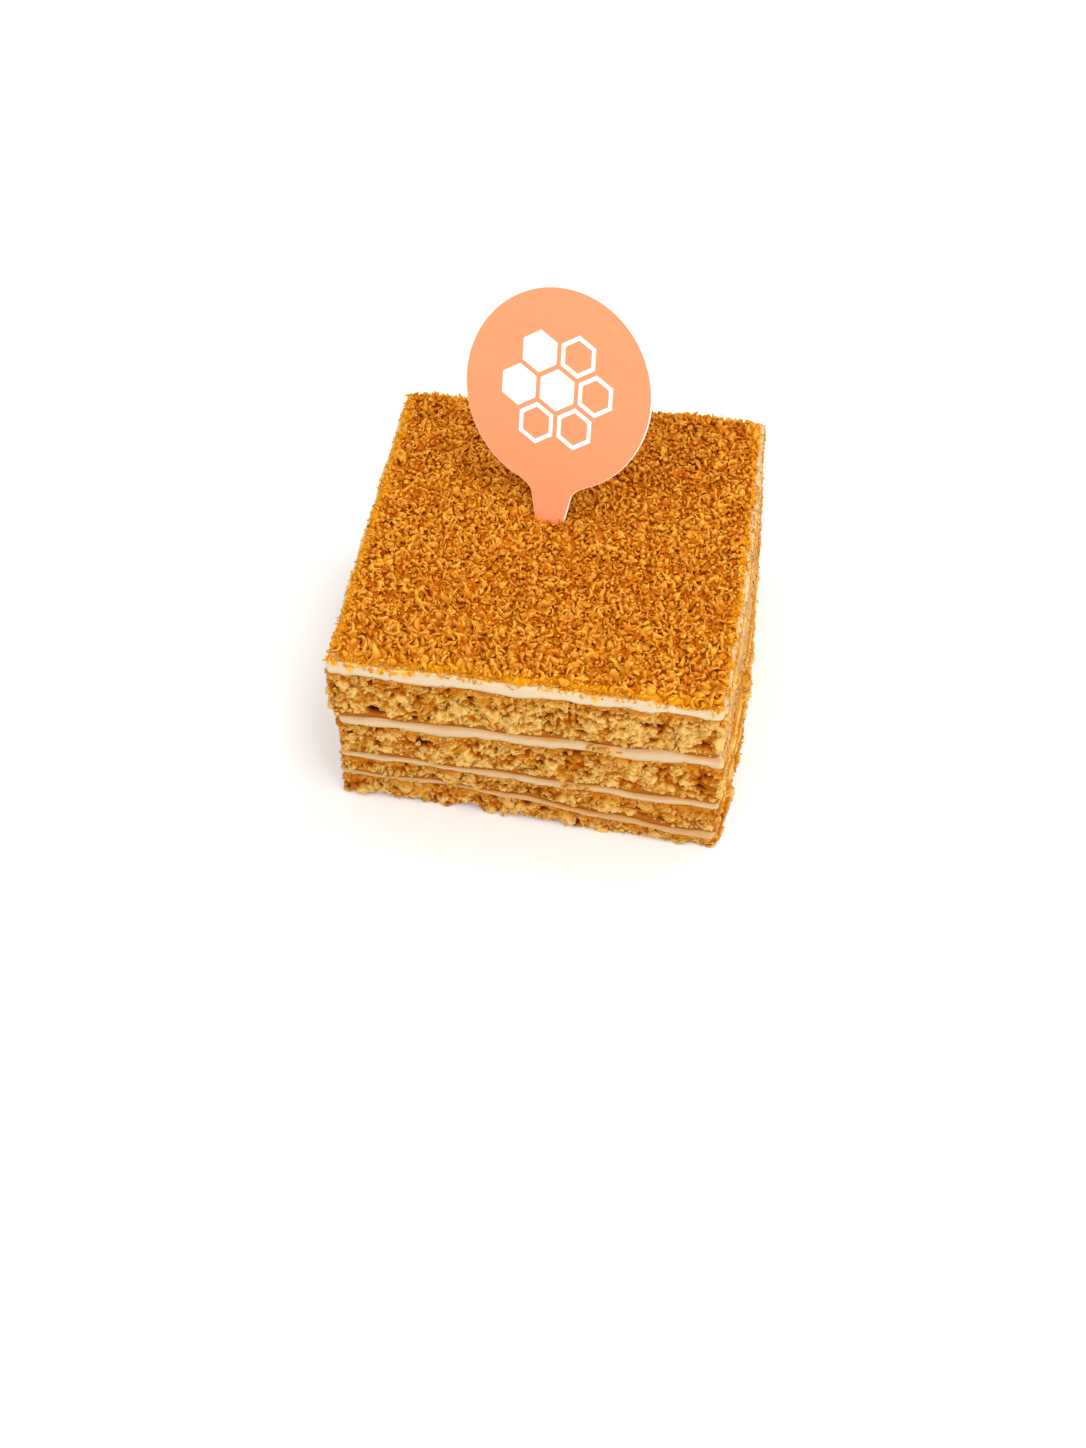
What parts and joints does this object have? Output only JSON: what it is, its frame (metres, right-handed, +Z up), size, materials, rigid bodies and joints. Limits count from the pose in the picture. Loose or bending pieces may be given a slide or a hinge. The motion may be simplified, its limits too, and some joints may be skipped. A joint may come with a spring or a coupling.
{
  "type": "medovik honey cake portion",
  "caption": "Square portion of layered honey cake: sponge sheets and cream cut through on all four sides, a crumb top, and a round card pick.",
  "frame": {"origin": "on the resting plane, under the middle of the object's bounding box", "axes": "+Z up through the layers; the front cut face looks along -Y; +X is to its right"},
  "size_m": [0.079, 0.0758, 0.0841],
  "materials": {
    "honey_sponge": "open baked crumb, matte",
    "sour_cream_filling": "soft satin cream",
    "cake_crumbs": "fine dry crumbs, matte",
    "printed_card": "printed coated card, satin"
  },
  "bodies": {
    "root": {"sponge_1": "honey_sponge", "sponge_2": "honey_sponge", "sponge_3": "honey_sponge", "sponge_4": "honey_sponge", "cream_1": "sour_cream_filling", "cream_2": "sour_cream_filling", "cream_3": "sour_cream_filling", "cream_4": "sour_cream_filling", "crumb_topping": "cake_crumbs", "pick": "printed_card"}
  },
  "joints": []
}
